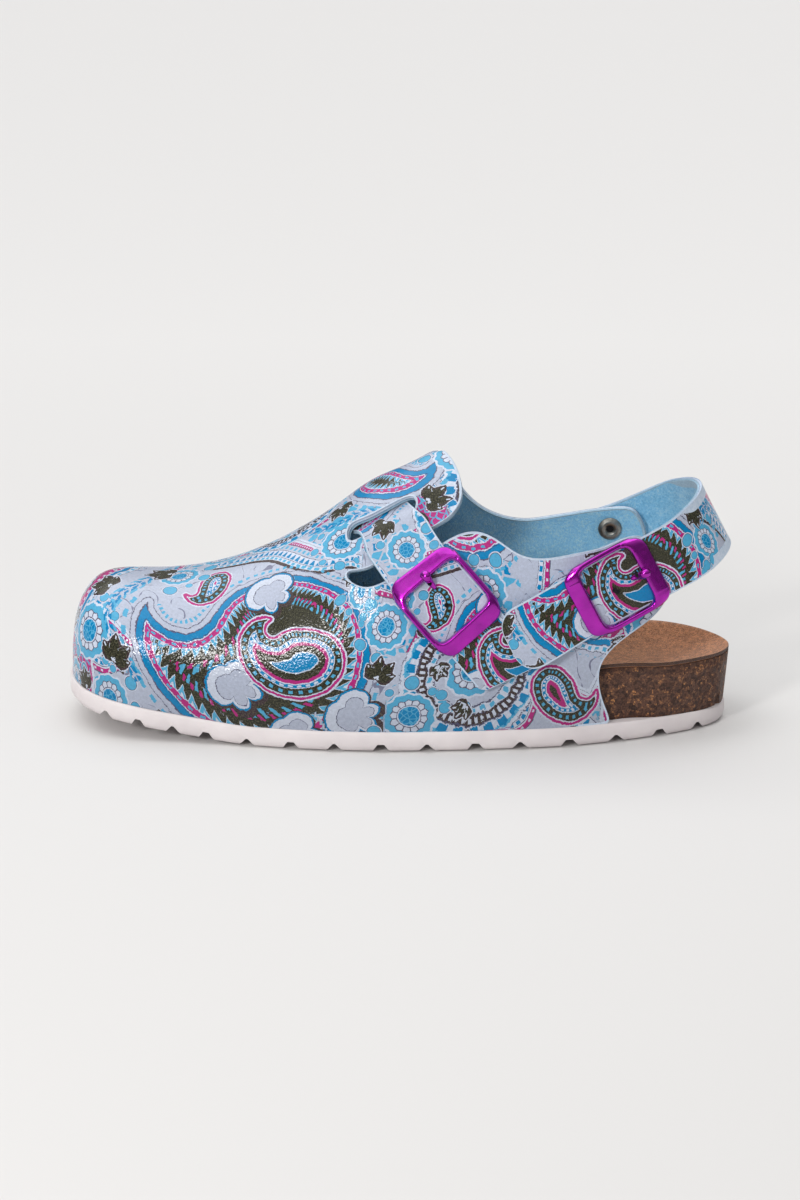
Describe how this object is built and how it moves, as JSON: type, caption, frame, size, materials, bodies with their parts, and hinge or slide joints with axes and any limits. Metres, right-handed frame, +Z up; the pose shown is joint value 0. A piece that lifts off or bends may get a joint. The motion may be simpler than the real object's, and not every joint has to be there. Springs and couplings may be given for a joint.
{
  "type": "slingback clog",
  "caption": "Closed-toe leather clog for the left foot with a cork footbed, a foam sole, a buckled instep strap and a buckled back strap round the open heel.",
  "frame": {"origin": "on the floor, under the middle of the box that holds the shoe", "axes": "+X from toe to heel, +Y from the outer to the inner side of the foot, +Z up"},
  "size_m": [0.2606, 0.095, 0.1084],
  "materials": {
    "foam": "matt white foam",
    "cork": "dark sealed cork granules",
    "suede": "napped suede",
    "printed_leather": "fine grain, printed, semi-gloss",
    "coloured_metal": "glossy violet metal",
    "rivet_steel": "dull grey steel"
  },
  "bodies": {
    "root": {"outsole": "foam", "footbed": "cork", "insole": "suede", "upper": "printed_leather", "instep_strap": "printed_leather", "instep_buckle": "coloured_metal", "instep_prong": "coloured_metal", "back_strap": "printed_leather", "back_buckle": "coloured_metal", "back_prong": "coloured_metal", "rivet_ring": "rivet_steel", "rivet_cap": "rivet_steel"}
  },
  "joints": []
}
